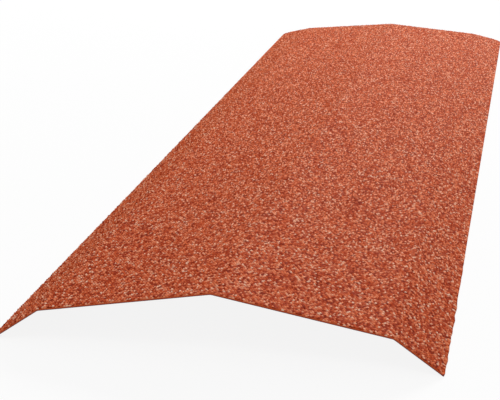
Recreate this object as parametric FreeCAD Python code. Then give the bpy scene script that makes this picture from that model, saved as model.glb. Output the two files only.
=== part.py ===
import FreeCAD, Part
import math
import os

# Roof ridge cap, one strip of stone-coated steel with three bends along its length.
# The bends open evenly from the near end to the lap end, which the next cap covers.
# It is seen as it lies on a level floor, on the free edges of its two flanges.
# X runs across it, Y along the ridge to the lap end, Z up.
# The origin is under the middle of the ridge, on the floor.

# Driving dimensions, in millimetres
length = 1200.0
wing_width = 125.0
flange_width = 41.0
sheet_thickness = 1.0
ridge_bend_radius = 8.0
flange_bend_radius = 4.0
lap_corner_radius = 12.0

# Slopes of the panels at the two ends, in degrees below level
near_wing_slope = 10.0
near_flange_slope = 35.0
lap_wing_slope = 5.0
lap_flange_slope = 13.0


def panel_direction(slope):
    """Unit vector down a panel on the right-hand side, away from the ridge."""
    angle = math.radians(slope)
    return FreeCAD.Vector(math.cos(angle), 0, -math.sin(angle))


def panel_normal(slope):
    """Unit vector out of the upper face of a panel on the right-hand side."""
    angle = math.radians(slope)
    return FreeCAD.Vector(math.sin(angle), 0, math.cos(angle))


def mirrored(point):
    return FreeCAD.Vector(-point.x, point.y, point.z)


def face_corners(wing_slope, flange_slope, y, depth):
    """Sharp corners of one end's section, from left to right, at a depth under the upper face."""
    wing_normal = panel_normal(wing_slope)
    flange_normal = panel_normal(flange_slope)
    wing = panel_direction(wing_slope) * wing_width
    flange = panel_direction(flange_slope) * flange_width
    ridge_height = sheet_thickness * flange_normal.z - flange.z - wing.z

    ridge = FreeCAD.Vector(0, y, ridge_height)
    bend = ridge + wing
    free_edge = bend + flange

    both_normals = wing_normal + flange_normal
    ridge.z -= depth / wing_normal.z
    bend -= both_normals * (depth / (1 + wing_normal.dot(flange_normal)))
    free_edge -= flange_normal * depth
    return [mirrored(free_edge), mirrored(bend), ridge, bend, free_edge]


def bent_line(corners, bend_radii):
    """Straight edges through the corners, with an arc in place of each inner corner."""
    edges = []
    start = corners[0]
    for before, corner, after, radius in zip(corners, corners[1:], corners[2:], bend_radii):
        towards = (corner - before).normalize()
        away = (after - corner).normalize()
        half_turn = towards.getAngle(away) / 2
        tangent_length = radius * math.tan(half_turn)
        arc_start = corner - towards * tangent_length
        arc_end = corner + away * tangent_length
        inward = (away - towards).normalize()
        arc_middle = corner + inward * (radius / math.cos(half_turn) - radius)
        edges.append(Part.LineSegment(start, arc_start).toShape())
        edges.append(Part.Arc(arc_start, arc_middle, arc_end).toShape())
        start = arc_end
    edges.append(Part.LineSegment(start, corners[-1]).toShape())
    return edges


def section_wire(wing_slope, flange_slope, y):
    """Outline of the sheet at one end: its upper and lower faces are bent about the same centres."""
    upper_radii = [flange_bend_radius, ridge_bend_radius, flange_bend_radius]
    lower_radii = [radius - sheet_thickness for radius in upper_radii]
    upper = face_corners(wing_slope, flange_slope, y, 0)
    lower = face_corners(wing_slope, flange_slope, y, sheet_thickness)
    edges = bent_line(upper, upper_radii)
    edges.append(Part.LineSegment(upper[-1], lower[-1]).toShape())
    edges.extend(bent_line(lower[::-1], lower_radii))
    edges.append(Part.LineSegment(lower[0], upper[0]).toShape())
    return Part.Wire(edges)


def at_lap_corner(edge):
    """True for the two edges through the sheet where its free edges meet the lap end."""
    lap_y = length / 2
    middle = edge.CenterOfMass
    free_edge_x = face_corners(lap_wing_slope, lap_flange_slope, lap_y, sheet_thickness / 2)[-1].x
    at_lap_end = abs(middle.y - lap_y) < sheet_thickness / 2
    at_free_edge = abs(abs(middle.x) - free_edge_x) < sheet_thickness / 2
    return at_lap_end and at_free_edge


def make_ridge_cap():
    """The bent strip, with the flange corners rounded at the lap end."""
    near_section = section_wire(near_wing_slope, near_flange_slope, -length / 2)
    lap_section = section_wire(lap_wing_slope, lap_flange_slope, length / 2)
    make_solid = True
    straight_between_ends = True
    cap = Part.makeLoft([near_section, lap_section], make_solid, straight_between_ends)
    lap_corners = [edge for edge in cap.Edges if at_lap_corner(edge)]
    return cap.makeFillet(lap_corner_radius, lap_corners)


ridge_cap = make_ridge_cap()
box = ridge_cap.optimalBoundingBox(False)
developed_width = 2 * (wing_width + flange_width)
print(f"ridge_cap: valid {ridge_cap.isValid()}, {len(ridge_cap.Solids)} solid, {len(ridge_cap.Faces)} faces")
print(f"box {box.XLength:.1f} x {box.YLength:.1f} x {box.ZLength:.1f} mm, lowest {box.ZMin:.3f} mm")
print(f"volume {ridge_cap.Volume / 1000:.1f} cm3, developed width about {developed_width:.0f} mm")

os.makedirs("parts", exist_ok=True)
ridge_cap.exportStep("parts/ridge_cap.step")
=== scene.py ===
# %% [markdown]
# # A roof ridge cap in stone-coated steel
#
# The cap is one folded steel strip, 1.2 m long. Its upper face is covered with crushed
# stone granules that are bonded to a dark red base coat, and its lower face is only primed.
# The folded strip comes from the CAD frame. This lesson adds the granules, the finishes,
# the light and the camera.

# %% Load the frame
import math

import bpy
import numpy as np
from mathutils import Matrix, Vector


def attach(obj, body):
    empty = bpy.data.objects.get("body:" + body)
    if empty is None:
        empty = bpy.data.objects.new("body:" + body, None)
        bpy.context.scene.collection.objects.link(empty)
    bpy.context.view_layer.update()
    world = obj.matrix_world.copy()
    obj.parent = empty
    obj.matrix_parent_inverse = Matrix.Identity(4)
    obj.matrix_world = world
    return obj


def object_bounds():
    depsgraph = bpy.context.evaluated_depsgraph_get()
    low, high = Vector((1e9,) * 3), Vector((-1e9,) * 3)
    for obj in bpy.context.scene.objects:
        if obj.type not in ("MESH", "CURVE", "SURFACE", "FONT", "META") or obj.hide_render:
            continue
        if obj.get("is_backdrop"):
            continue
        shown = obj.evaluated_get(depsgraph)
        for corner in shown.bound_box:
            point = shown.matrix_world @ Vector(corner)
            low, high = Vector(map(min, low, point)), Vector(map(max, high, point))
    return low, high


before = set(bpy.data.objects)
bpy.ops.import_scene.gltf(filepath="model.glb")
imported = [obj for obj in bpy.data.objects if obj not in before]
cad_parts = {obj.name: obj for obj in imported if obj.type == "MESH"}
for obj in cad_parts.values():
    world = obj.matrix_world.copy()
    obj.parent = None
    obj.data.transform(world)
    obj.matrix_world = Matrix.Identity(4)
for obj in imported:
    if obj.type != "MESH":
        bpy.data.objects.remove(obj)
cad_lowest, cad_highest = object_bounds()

ridge_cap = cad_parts["ridge_cap"]
MM = 0.001
print("the folded strip measures, in mm:", [round(side / MM, 1) for side in cad_highest - cad_lowest])

# %% [markdown]
# ## The camera
#
# A picture taken from close by makes the near end look wide and the far end narrow. How fast
# the sides run together fixes the distance, and the size on the picture then fixes the lens.
# This camera stands 0.8 m from the near end, a little above the cap and to its right, and
# looks along it through a moderate telephoto lens.

# %% Place the camera
camera_place = (0.1910, -1.3989, 0.3700)
degrees_below_level = 17.49
degrees_to_the_left = 11.60
picture_width = 500
pixels_to_the_lens = 1322
sensor_width = 36.0

lens = bpy.data.cameras.new("camera")
lens.sensor_width = sensor_width
lens.lens = sensor_width * pixels_to_the_lens / picture_width
lens.clip_start = 0.05
lens.clip_end = 100.0
camera = bpy.data.objects.new("camera", lens)
camera.location = camera_place
camera.rotation_euler = (math.radians(90 - degrees_below_level), 0, math.radians(degrees_to_the_left))
bpy.context.scene.collection.objects.link(camera)
bpy.context.scene.camera = camera
bpy.context.scene.view_settings.view_transform = "Standard"
print(f"lens {lens.lens:.1f} mm")

# %% [markdown]
# ## Writing materials as maths
#
# A material is a graph of nodes. Clicking hundreds of them together is slow, and a long list
# of node calls is hard to read. So a small class wraps one output socket, and gives it the
# signs of arithmetic: `1 - height * 0.5` adds the Math nodes that work it out. Everything
# else comes from one method, `node`, which takes a node's type, its settings and its inputs.

# %% Wrap a socket


class Wire:
    """An output socket that can be reckoned with."""

    def __init__(self, socket):
        self.socket = socket

    def reckon(self, operation, first, second):
        tree = Finish(self.socket.id_data)
        return tree.node("ShaderNodeMath", {"operation": operation}, {0: first, 1: second})

    def __add__(self, other):
        return self.reckon("ADD", self, other)

    def __radd__(self, other):
        return self.reckon("ADD", other, self)

    def __sub__(self, other):
        return self.reckon("SUBTRACT", self, other)

    def __rsub__(self, other):
        return self.reckon("SUBTRACT", other, self)

    def __mul__(self, other):
        return self.reckon("MULTIPLY", self, other)

    def __rmul__(self, other):
        return self.reckon("MULTIPLY", other, self)


class Finish:
    """A node tree that a finish is mixed in."""

    def __init__(self, tree):
        self.tree = tree

    def node(self, kind, settings=None, inputs=None, output=0):
        """Adds a node, sets it up, joins or sets its inputs, and gives one output if it has any."""
        made = self.tree.nodes.new(kind)
        for name, value in (settings or {}).items():
            if name == "stops":
                self.set_stops(made.color_ramp, value)
            else:
                setattr(made, name, value)
        for name, value in (inputs or {}).items():
            if isinstance(value, Wire):
                self.tree.links.new(value.socket, made.inputs[name])
            else:
                made.inputs[name].default_value = value
        return Wire(made.outputs[output]) if made.outputs else None

    @staticmethod
    def set_stops(ramp, stops):
        """Gives a colour ramp its stops, which are (place, colour) pairs."""
        while len(ramp.elements) < len(stops):
            ramp.elements.new(1.0)
        for element, (place, stop_colour) in zip(ramp.elements, stops):
            element.position = place
            element.color = stop_colour

    def mix(self, share, first, second):
        """Mixes two colours. They are sockets 6 and 7 of the Mix node, and its output 2."""
        inputs = {0: share, 6: first, 7: second}
        return self.node("ShaderNodeMix", {"data_type": "RGBA"}, inputs, output=2)

    def attribute(self, name):
        """A number that the mesh carries."""
        return self.node("ShaderNodeAttribute", {"attribute_name": name}, output="Fac")

    def surface(self, shader):
        """Puts a shader on the surface."""
        self.node("ShaderNodeOutputMaterial", inputs={"Surface": shader})


def new_material(name):
    """A material with an empty node tree, and the finish to fill it."""
    material = bpy.data.materials.new(name)
    material.use_nodes = True
    material.node_tree.nodes.clear()
    return material, Finish(material.node_tree)


def colour(red, green, blue):
    """A colour as a paint chart gives it, 0 to 255, turned into the linear light of a shader."""
    shares = [channel / 255 for channel in (red, green, blue)]
    linear = [s / 12.92 if s <= 0.04045 else ((s + 0.055) / 1.055) ** 2.4 for s in shares]
    return (*linear, 1.0)


print("a brick red in linear light:", [round(channel, 3) for channel in colour(175, 58, 17)[:3]])

# %% [markdown]
# ## The studio floor
#
# The cap lies on a white floor, one large square. Enough light to make a floor look white would
# also bleach the cap. So the floor adds white of its own, but only for rays that come from the
# camera, from a mirror or through glass, and it throws none of that white on the cap. A share
# of the floor is left to the lamps, and that share shows the cap's soft shadow.

# %% Make the floor
floor_size = 60.0
floor_own_white = 0.88
plain_white = (1, 1, 1, 1)
floor_paint = (0.9, 0.9, 0.9, 1)

floor_mesh = bpy.data.meshes.new("studio_floor")
half = floor_size / 2
floor_corners = [(-half, -half, 0), (half, -half, 0), (half, half, 0), (-half, half, 0)]
floor_mesh.from_pydata(floor_corners, [], [(0, 1, 2, 3)])
floor = bpy.data.objects.new("studio_floor", floor_mesh)
bpy.context.scene.collection.objects.link(floor)
floor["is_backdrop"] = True


def shows_white(tree):
    """1 for rays that come straight from the camera, from a mirror or through glass, else 0."""
    path = "ShaderNodeLightPath"
    kinds = ["Is Camera Ray", "Is Glossy Ray", "Is Transmission Ray"]
    camera_ray, glossy_ray, transmission_ray = (tree.node(path, output=kind) for kind in kinds)
    return tree.node("ShaderNodeClamp", inputs={"Value": camera_ray + glossy_ray + transmission_ray})


floor_material, finish = new_material("studio_white")
white = finish.node("ShaderNodeEmission", inputs={"Color": plain_white, "Strength": 1.0})
matt = finish.node("ShaderNodeBsdfDiffuse", inputs={"Color": floor_paint})
white_share = shows_white(finish) * floor_own_white
finish.surface(finish.node("ShaderNodeMixShader", inputs={0: white_share, 1: matt, 2: white}))
floor_mesh.materials.append(floor_material)
print(f"the floor is {floor_size:.0f} m wide")

# %% [markdown]
# ## The studio light
#
# One large softbox stands low behind the cap, a little to its right. Light that skims over a
# rough surface draws out its grain, and as this lamp is nearer to the far end, that end comes
# out brighter than the near one. A weak box overhead, behind the camera, and the white world
# fill in the shade. The world looks plain white by the same trick as the floor, and lights the
# cap with less than half of that.

# %% Make the light
box_side = 1.8
box_distance = 5.5
world_strength = 0.46


def add_softbox(name, bearing, height, level):
    """A square lamp facing the cap. Bearing turns to the right from the lap end, in degrees."""
    lamp = bpy.data.lights.new(name, "AREA")
    lamp.size = box_side
    lamp.energy = level * math.pi * box_distance ** 2
    box = bpy.data.objects.new(name, lamp)
    turn, rise = math.radians(bearing), math.radians(height)
    towards = (math.cos(rise) * math.sin(turn), math.cos(rise) * math.cos(turn), math.sin(rise))
    box.location = [box_distance * share for share in towards]
    box.rotation_euler = (rise - math.pi / 2, 0, -turn)
    bpy.context.scene.collection.objects.link(box)
    print(f"{name}: {lamp.energy:.0f} W")


add_softbox("softbox_behind", bearing=7, height=24, level=3.4)
add_softbox("softbox_overhead", bearing=180, height=60, level=0.45)

world = bpy.data.worlds.new("studio_world")
bpy.context.scene.world = world
world.use_nodes = True
world.node_tree.nodes.clear()
sky = Finish(world.node_tree)
sky_level = shows_white(sky) * (1 - world_strength) + world_strength
background = sky.node("ShaderNodeBackground", inputs={"Color": plain_white, "Strength": sky_level})
sky.node("ShaderNodeOutputWorld", inputs={"Surface": background})

# %% [markdown]
# ## Where the granules sit
#
# Granules follow the steel round its three bends. The easiest way to lay them is on the flat
# strip, before it is folded: each has a place across the strip, from the ridge out to a free
# edge, and a place along it. Folding is then one function. The slope of the strip grows over
# each bend, and small steps down that slope, added up, give the section.
#
# The strip is folded more at the near end than at the lap end, and every point of the near
# section is joined to the same point of the lap section by a straight line. A deeper fold
# takes more of the strip into its bends. Places across the strip are measured on the near
# section, and each panel and bend of another section is stretched to match.

# %% Fold the strip
length = 1200.0
wing_width = 125.0
flange_width = 41.0
sheet_thickness = 1.0
ridge_bend_radius = 8.0
flange_bend_radius = 4.0
lap_corner_radius = 12.0
near_slopes = (10.0, 35.0)
lap_slopes = (5.0, 13.0)
section_points = 4001
neighbour_step = 0.05


def section_knots(slopes):
    """Where the slope changes across one half of the strip, and the slopes there in radians."""
    wing, flange = (math.radians(slope) for slope in slopes)
    flange_tangent = flange_bend_radius * math.tan((flange - wing) / 2)
    wing_run = wing_width - ridge_bend_radius * math.tan(wing) - flange_tangent
    steps = [
        0,
        ridge_bend_radius * wing,
        wing_run,
        flange_bend_radius * (flange - wing),
        flange_width - flange_tangent,
    ]
    return np.cumsum(steps), np.array([0, wing, wing, flange, flange])


def section(slopes, across):
    """Where points across the strip fold to, in mm: x from the middle and z from the floor."""
    knots, bends = section_knots(slopes)
    near_knots, _ = section_knots(near_slopes)
    reach = np.interp(np.abs(across), near_knots, knots)
    fine = np.linspace(0, knots[-1], section_points)
    slope = np.interp(fine, knots, bends)
    step = fine[1]
    step_slope = (slope[1:] + slope[:-1]) / 2
    run = np.concatenate([[0], np.cumsum(np.cos(step_slope)) * step])
    drop = np.concatenate([[0], np.cumsum(np.sin(step_slope)) * step])
    edge_height = sheet_thickness * math.cos(bends[-1])
    past_edge = np.maximum(np.abs(across) - near_knots[-1], 0)
    x = np.interp(reach, fine, run) + past_edge * math.cos(bends[-1])
    z = edge_height + drop[-1] - np.interp(reach, fine, drop) - past_edge * math.sin(bends[-1])
    return np.sign(across) * x, z


def fold(across, along, height):
    """Folds points of the flat strip, in mm, to places in metres. Height is off the steel."""
    share = along / length
    near = section(near_slopes, across)
    lap = section(lap_slopes, across)
    near_next = section(near_slopes, across + neighbour_step)
    lap_next = section(lap_slopes, across + neighbour_step)
    x, z = (n + (l - n) * share for n, l in zip(near, lap))
    x_next, z_next = (n + (l - n) * share for n, l in zip(near_next, lap_next))
    sideways = np.stack([x_next - x, np.zeros_like(x), z_next - z], 1)
    widening, rise = ((l - n) / length for n, l in zip(near, lap))
    lengthways = np.stack([widening, np.ones_like(x), rise], 1)
    outward = np.cross(sideways, lengthways)
    outward /= np.linalg.norm(outward, axis=1, keepdims=True)
    return (np.stack([x, along - length / 2, z], 1) + outward * height[:, None]) * MM


half_strip = section_knots(near_slopes)[0][-1]
print(f"the flat strip is {2 * half_strip:.1f} mm wide")

# %% [markdown]
# ## The granules
#
# Crushed stone lies packed grain to grain, each about 2 mm across. Modelling every grain as
# a stone of its own would take millions of faces. From above, only the tops show, so the coat
# is one crumpled skin: a honeycomb of uneven cells, where the middle of each cell is lifted to
# a peak of its own height and the corners stay low. Each cell is one grain with six facets.
#
# The honeycomb starts as rows of points, staggered and then shaken, though less so near the
# edges, where the cells have to line up. Spare rows and columns outside the strip bear no
# grains, and serve the outermost cells as neighbours.

# %% Scatter the grains on the flat strip
grain_pitch = 2.0
grain_shake = 0.34
spare_rows = 2
spare_columns = 4

chance = np.random.default_rng(seed=4)
row_count = round(length / (grain_pitch * math.sqrt(3) / 2))
row_step = length / row_count
column_count = 2 * math.ceil(half_strip / grain_pitch) + spare_columns
row, column = np.divmod(np.arange((row_count + spare_rows) * column_count), column_count)
stagger = 0.5 * (row % 2)
across = (column + stagger - (column_count - 0.5) / 2) * grain_pitch
along = (row - 0.5) * row_step


def outside(across, along):
    """How far each point lies outside the flat strip, whose corners are rounded at the lap end."""
    side = np.abs(across) - half_strip + lap_corner_radius
    end = along - length + lap_corner_radius
    rounded = np.hypot(np.maximum(side, 0), np.maximum(end, 0))
    return np.maximum(np.maximum(rounded, np.minimum(side, end)) - lap_corner_radius, -along)


edge_room = 0.25 * grain_pitch
calm_width = 1.5 * grain_pitch
distance_in = -outside(across, along)
kept = (row > 0) & (row <= row_count) & (distance_in > edge_room)
liveliness = np.clip(distance_in / calm_width, 0, 1) * grain_shake * grain_pitch
across += chance.uniform(-1, 1, across.shape) * liveliness
along += chance.uniform(-1, 1, along.shape) * liveliness
grains = np.flatnonzero(kept)
print(f"{len(grains)} grains on {row_count} rows")

# %% [markdown]
# ## The cells
#
# A corner of a cell lies in the midst of three points: the grain's own and two neighbours that
# follow each other round it. Three cells meet there, and each of them finds the same corner.
# So every corner gets a key from its three points, and each key is kept once, which makes the
# cells share their corners and the coat one skin without gaps.

# %% Find the corners of every cell
cell_sides = 6

shift = row[grains] % 2
neighbours = np.stack([
    grains + 1,
    grains + column_count + shift,
    grains + column_count + shift - 1,
    grains - 1,
    grains - column_count + shift - 1,
    grains - column_count + shift,
], 1)
next_neighbours = np.roll(neighbours, -1, axis=1)
own = np.repeat(grains[:, None], cell_sides, axis=1)
threes = np.sort(np.stack([own, neighbours, next_neighbours], 2), axis=2).reshape(-1, 3)
keys = (threes[:, 0] * len(row) + threes[:, 1]) * len(row) + threes[:, 2]
_, first_found, corner_of = np.unique(keys, return_index=True, return_inverse=True)
threes = threes[first_found]
corner_of = corner_of.reshape(-1, cell_sides)
next_corner_of = np.roll(corner_of, -1, axis=1)
corner_across = across[threes].mean(1)
corner_along = along[threes].mean(1)
print(f"{len(threes)} corners")

# %% [markdown]
# ## The edge of the coat
#
# The strip was coated, cut and folded. At the two ends the shears cut straight through the
# grains, so the corners there are drawn onto the cut. Along the free edges the grains stand a
# little over the steel. Near the front of the right-hand edge they stand proud in lumps about
# 8 mm long, a few of them large and most of them slight, which fade away within the first
# quarter metre.
#
# The coat also needs a rim, or one could look in under it: a band of faces that runs from its
# edge down into the steel. Its lower points are drawn in from the edge by the same function.

# %% Trim the coat
edge_overhang = 0.25
lump_spacing = 8.0
lump_overhang = 1.6
lumpy_length = 250.0
cut_overhang = 0.12
rim_inset = 0.06


def drawn_in(across, along, overhang, cut):
    """Draws points that lie too far out back to the edge, plus what may stand over it."""
    side = np.abs(across) - half_strip + lap_corner_radius
    end = along - length + lap_corner_radius
    reach = np.hypot(side, end)
    in_corner = (side > 0) & (end > 0) & (reach > lap_corner_radius + overhang)
    shrink = np.where(in_corner, (lap_corner_radius + overhang) / reach, 1)
    side = np.minimum(side * shrink, lap_corner_radius + overhang)
    end = np.minimum(end * shrink, lap_corner_radius + cut)
    new_across = np.sign(across) * (side + half_strip - lap_corner_radius)
    return new_across, np.maximum(end + length - lap_corner_radius, -cut)


bare_side = ~kept[next_neighbours]
edges = np.stack([corner_of[bare_side], next_corner_of[bare_side]], 1)
on_edge = np.zeros(len(threes), bool)
on_edge[edges.ravel()] = True
corner_along[on_edge & (corner_along < row_step)] = -cut_overhang
at_lap = on_edge & (corner_along > length - row_step)
at_lap &= np.abs(corner_across) < half_strip - lap_corner_radius
corner_along[at_lap] = length + cut_overhang
lump_places = np.arange(0, length, lump_spacing)
lump_sizes = chance.uniform(0, 1, len(lump_places)) ** 2
fade = np.sqrt(np.clip(1 - corner_along / lumpy_length, 0, 1)) * (corner_across > 0)
lumps = np.interp(corner_along, lump_places, lump_sizes) * lump_overhang * fade
overhang = edge_overhang * (1 - fade) + lumps
at_side = on_edge & (np.abs(corner_across) > half_strip - lap_corner_radius) & (corner_along > 0)
at_side &= corner_along < length - lap_corner_radius
corner_across[at_side] = np.sign(corner_across[at_side]) * (half_strip + lump_overhang)
corner_across, corner_along = drawn_in(corner_across, corner_along, overhang, cut_overhang)
rim_across, rim_along = drawn_in(corner_across, corner_along, -rim_inset, -rim_inset)
peak_across = corner_across[corner_of].mean(1)
peak_along = corner_along[corner_of].mean(1)
print(f"{len(edges)} edges on the rim")

# %% [markdown]
# ## The relief of the coat
#
# So far the coat is flat, and it is only now lifted and folded. Each grain has its peak over
# the middle of its six corners, and peaks and corners each get a random height. Even the lowest
# corners stand 0.2 mm off the sheet, because the steel's mesh has flat faces in place of its
# true curves, and they lie up to a quarter of a millimetre too high.
#
# The faces come last: six for each grain, and two for each edge of the rim.

# %% Lift the peaks and fold the coat
peak_heights = (0.70, 1.50)
corner_heights = (0.20, 0.40)
rim_depth = 0.75

peak_height = chance.uniform(*peak_heights, len(grains))
corner_height = chance.uniform(*corner_heights, len(threes))
rim_height = np.full(len(threes), -rim_depth)
flat_across = np.concatenate([peak_across, corner_across, rim_across])
flat_along = np.concatenate([peak_along, corner_along, rim_along])
heights = np.concatenate([peak_height, corner_height, rim_height])
places = fold(flat_across, flat_along, heights)
print(f"lowest {places[:, 2].min() / MM:.2f} mm, highest {places[:, 2].max() / MM:.2f} mm")

# %% Join the points with faces
corner_start = len(grains)
rim_start = corner_start + len(threes)
peak_number = np.repeat(np.arange(len(grains))[:, None], cell_sides, axis=1)
facets = np.stack([peak_number, corner_of + corner_start, next_corner_of + corner_start], 2)
facets = facets.reshape(-1, 3)
upper_one, upper_two = edges.T + corner_start
lower_one, lower_two = edges.T + rim_start
rim_faces = [
    np.stack([upper_two, upper_one, lower_one], 1),
    np.stack([upper_two, lower_one, lower_two], 1),
]
rim_grain = peak_number[bare_side]
faces = np.concatenate([facets, *rim_faces])
face_grain = np.concatenate([peak_number.ravel(), rim_grain, rim_grain])
print(f"{len(faces)} faces")

# %% [markdown]
# ## The finish of the granules
#
# The stone is coloured before it is bonded, so most grains are brick red, some are darker, and
# a few are pale pinkish chips. A picture of granules could be laid over the coat, but it would
# not keep to the modelled grains. So every grain carries a number of its own, its tone, and a
# colour ramp turns tones into colours. Fine dust of one colour lies over all of them.
#
# Between the grains the red base coat shows. The colour is mixed towards it by height, so it darkens
# towards the low corners, which is partly that coat and partly painted shade. Broken stone is dull, but
# some grains glint a little.

# %% Mix the granule finish
# The dark base coat, which between the grains also serves as painted shade.
base_coat = colour(112, 22, 4)
dust = colour(190, 70, 28)
dust_share = 0.3
height_to_stone = 1.7
dull_roughness = 0.95
glint = 0.15

coat_material, finish = new_material("brick_red_granules")
tone = finish.attribute("grain_tone")
height = finish.attribute("grain_height")
shine = finish.attribute("grain_shine")
stone = finish.node("ShaderNodeValToRGB", {"stops": [
    (0.00, colour(118, 28, 3)),
    (0.22, colour(175, 58, 17)),
    (0.52, colour(214, 98, 55)),
    (0.80, colour(243, 139, 95)),
    (0.93, colour(253, 174, 136)),
    (1.00, colour(255, 210, 180)),
]}, {0: tone})
dust_at = finish.node("ShaderNodeTexCoord", output="Object")
speckle = finish.node("ShaderNodeTexNoise", inputs={"Vector": dust_at, "Scale": 900.0, "Detail": 3.0})
# Low corners take more of the dark base coat: the real coat there, and painted shade between the grains.
stone_over_coat_and_shade = finish.node("ShaderNodeClamp", inputs={"Value": height * height_to_stone})
dusty_stone = finish.mix(speckle * dust_share, stone, dust)
grit = finish.node("ShaderNodeBump", inputs={"Strength": 0.4, "Distance": 0.0002, "Height": speckle})
coat = finish.node("ShaderNodeBsdfPrincipled", inputs={
    "Base Color": finish.mix(stone_over_coat_and_shade, base_coat, dusty_stone),
    "Roughness": dull_roughness - shine * glint,
    "Specular IOR Level": 0.05,
    "Normal": grit,
})
finish.surface(coat)
print(f"{len(coat_material.node_tree.nodes)} nodes in the granule finish")

# %% [markdown]
# ## A tone for every grain
#
# Stones of one tone lie together a little more often than chance alone would have it. So a
# small share of each grain's tone comes from its neighbours. The ramp was mixed for tones that
# are spread evenly from 0 to 1, so each grain takes its rank among all of them. The rim, which
# is broken coat and not whole stones, has one middling tone all along.

# %% Give each grain its tone and shine
clump_share = 0.1
rim_height_share = 0.5

own_tone = chance.normal(0, 1, len(row))
clump_tone = chance.normal(0, 1, len(row))
clump_tone[grains] = clump_tone[neighbours].mean(1)
clump_tone /= clump_tone[grains].std()
tone_mix = own_tone * (1 - clump_share) + clump_tone * clump_share
tone_rank = np.argsort(np.argsort(tone_mix[grains]))
grain_tone = tone_rank / len(grains)
grain_shine = chance.uniform(0, 1, len(grains))
# The height share sets how much painted shade and base coat a point takes; the rim's points get a
# middling share, so they take little of it.
height_share = np.clip(heights / peak_heights[1], 0, 1)
height_share[len(grains):][np.tile(on_edge, 2)] = rim_height_share
print(f"tones {grain_tone.min():.2f} to {grain_tone.max():.2f}")

# %% [markdown]
# ## Strips of coat
#
# The whole coat would be one very heavy mesh, so it is made as six strips along the cap. Each
# has a map onto a square picture, on which its finish can be baked. As a strip is long and
# narrow, its map lays it out in four bands side by side, with a little room round each.

# %% Map a strip onto a square
bake_bands = 4
band_room = 2.0


def bake_places(strip_faces, strip_grains):
    """Where the corners of the faces lie on the square map that carries the baked finish."""
    band_length = length / bake_bands
    band = np.clip(peak_along[strip_grains] // band_length, 0, bake_bands - 1)[:, None]
    face_across = flat_across[strip_faces]
    lowest = face_across.min() - band_room
    span = face_across.max() + band_room - lowest
    u = (band + (face_across - lowest) / span) / bake_bands
    v = (flat_along[strip_faces] - band * band_length + band_room) / (band_length + 2 * band_room)
    return np.stack([u, v], 2)


# %% Cut the coat into strips and make their meshes
strip_edges = [-wing_width, -wing_width / 2, 0, wing_width / 2, wing_width]
strip_names = [
    "granules_left_flange",
    "granules_left_wing_outer",
    "granules_left_wing_inner",
    "granules_right_wing_inner",
    "granules_right_wing_outer",
    "granules_right_flange",
]
rim_tone = 0.5
strip_of_grain = np.digitize(peak_across, strip_edges)


def make_strip(name, number):
    """The granules on one strip of the coat, as one mesh."""
    chosen = strip_of_grain[face_grain] == number
    strip_faces, strip_grains = faces[chosen], face_grain[chosen]
    used, renumbered = np.unique(strip_faces, return_inverse=True)
    mesh = bpy.data.meshes.new(name)
    mesh.from_pydata(places[used], [], renumbered.reshape(-1, 3))
    on_rim = np.flatnonzero(chosen) >= len(facets)
    values = {
        "grain_tone": ("FACE", np.where(on_rim, rim_tone, grain_tone[strip_grains])),
        "grain_shine": ("FACE", grain_shine[strip_grains]),
        "grain_height": ("POINT", height_share[used]),
    }
    for value_name, (domain, numbers) in values.items():
        mesh.attributes.new(value_name, "FLOAT", domain).data.foreach_set("value", numbers)
    bake_map = mesh.uv_layers.new(name="OFBake", do_init=False)
    bake_map.uv.foreach_set("vector", bake_places(strip_faces, strip_grains).ravel())
    mesh.polygons.foreach_set("use_smooth", ~on_rim)
    mesh.materials.append(coat_material)
    strip = bpy.data.objects.new(name, mesh)
    bpy.context.scene.collection.objects.link(strip)
    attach(strip, "root")
    print(f"{name}: {len(strip_faces)} faces")


for number, name in enumerate(strip_names):
    make_strip(name, number)

# %% [markdown]
# ## The steel
#
# Under the grains the strip is painted: the same dark base coat above and over the cut edges,
# and a thin reddish-grey primer below. Two materials would need the faces sorted by side. But
# the side follows from the direction that the surface faces, so one material can paint both.

# %% Paint the steel
downward_from = -0.5
steel_roughness = 0.45
patch_roughness = 0.2

steel_material, finish = new_material("base_coat_and_primer")
facing = finish.node("ShaderNodeNewGeometry", output="Normal")
upward = finish.node("ShaderNodeSeparateXYZ", inputs={"Vector": facing}, output="Z")
lower_side = finish.node("ShaderNodeMath", {"operation": "LESS_THAN"}, {0: upward, 1: downward_from})
paint_at = finish.node("ShaderNodeTexCoord", output="Object")
patches = finish.node("ShaderNodeTexNoise", inputs={"Vector": paint_at, "Scale": 9.0, "Detail": 4.0})
peel = finish.node("ShaderNodeTexNoise", inputs={"Vector": paint_at, "Scale": 420.0, "Detail": 2.0})
primer = finish.mix(patches, colour(132, 98, 88), colour(152, 116, 104))
red_coat = finish.mix(peel, colour(104, 20, 4), colour(122, 26, 6))
orange_peel = finish.node("ShaderNodeBump", inputs={"Strength": 0.25, "Distance": 0.0002, "Height": peel})
steel = finish.node("ShaderNodeBsdfPrincipled", inputs={
    "Base Color": finish.mix(lower_side, red_coat, primer),
    "Roughness": steel_roughness + patches * patch_roughness,
    "Normal": orange_peel,
})
finish.surface(steel)
ridge_cap.material_slots[0].material = steel_material
print(f"{len(steel_material.node_tree.nodes)} nodes in the steel's finish")

# %% [markdown]
# ## The last sizes
#
# A finish should hardly change the size of a part. The box round everything is measured once
# more and printed as its difference from the box of the bare strip. The coat adds a little over 1 mm on
# top and a few tenths at the sides.

# %% Print how the sizes changed
lowest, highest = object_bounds()
growth = [round((v - c) / MM, 2) for v, c in zip([*lowest, *highest], [*cad_lowest, *cad_highest])]
print("the finished cap differs from the CAD box, in mm, by", growth)
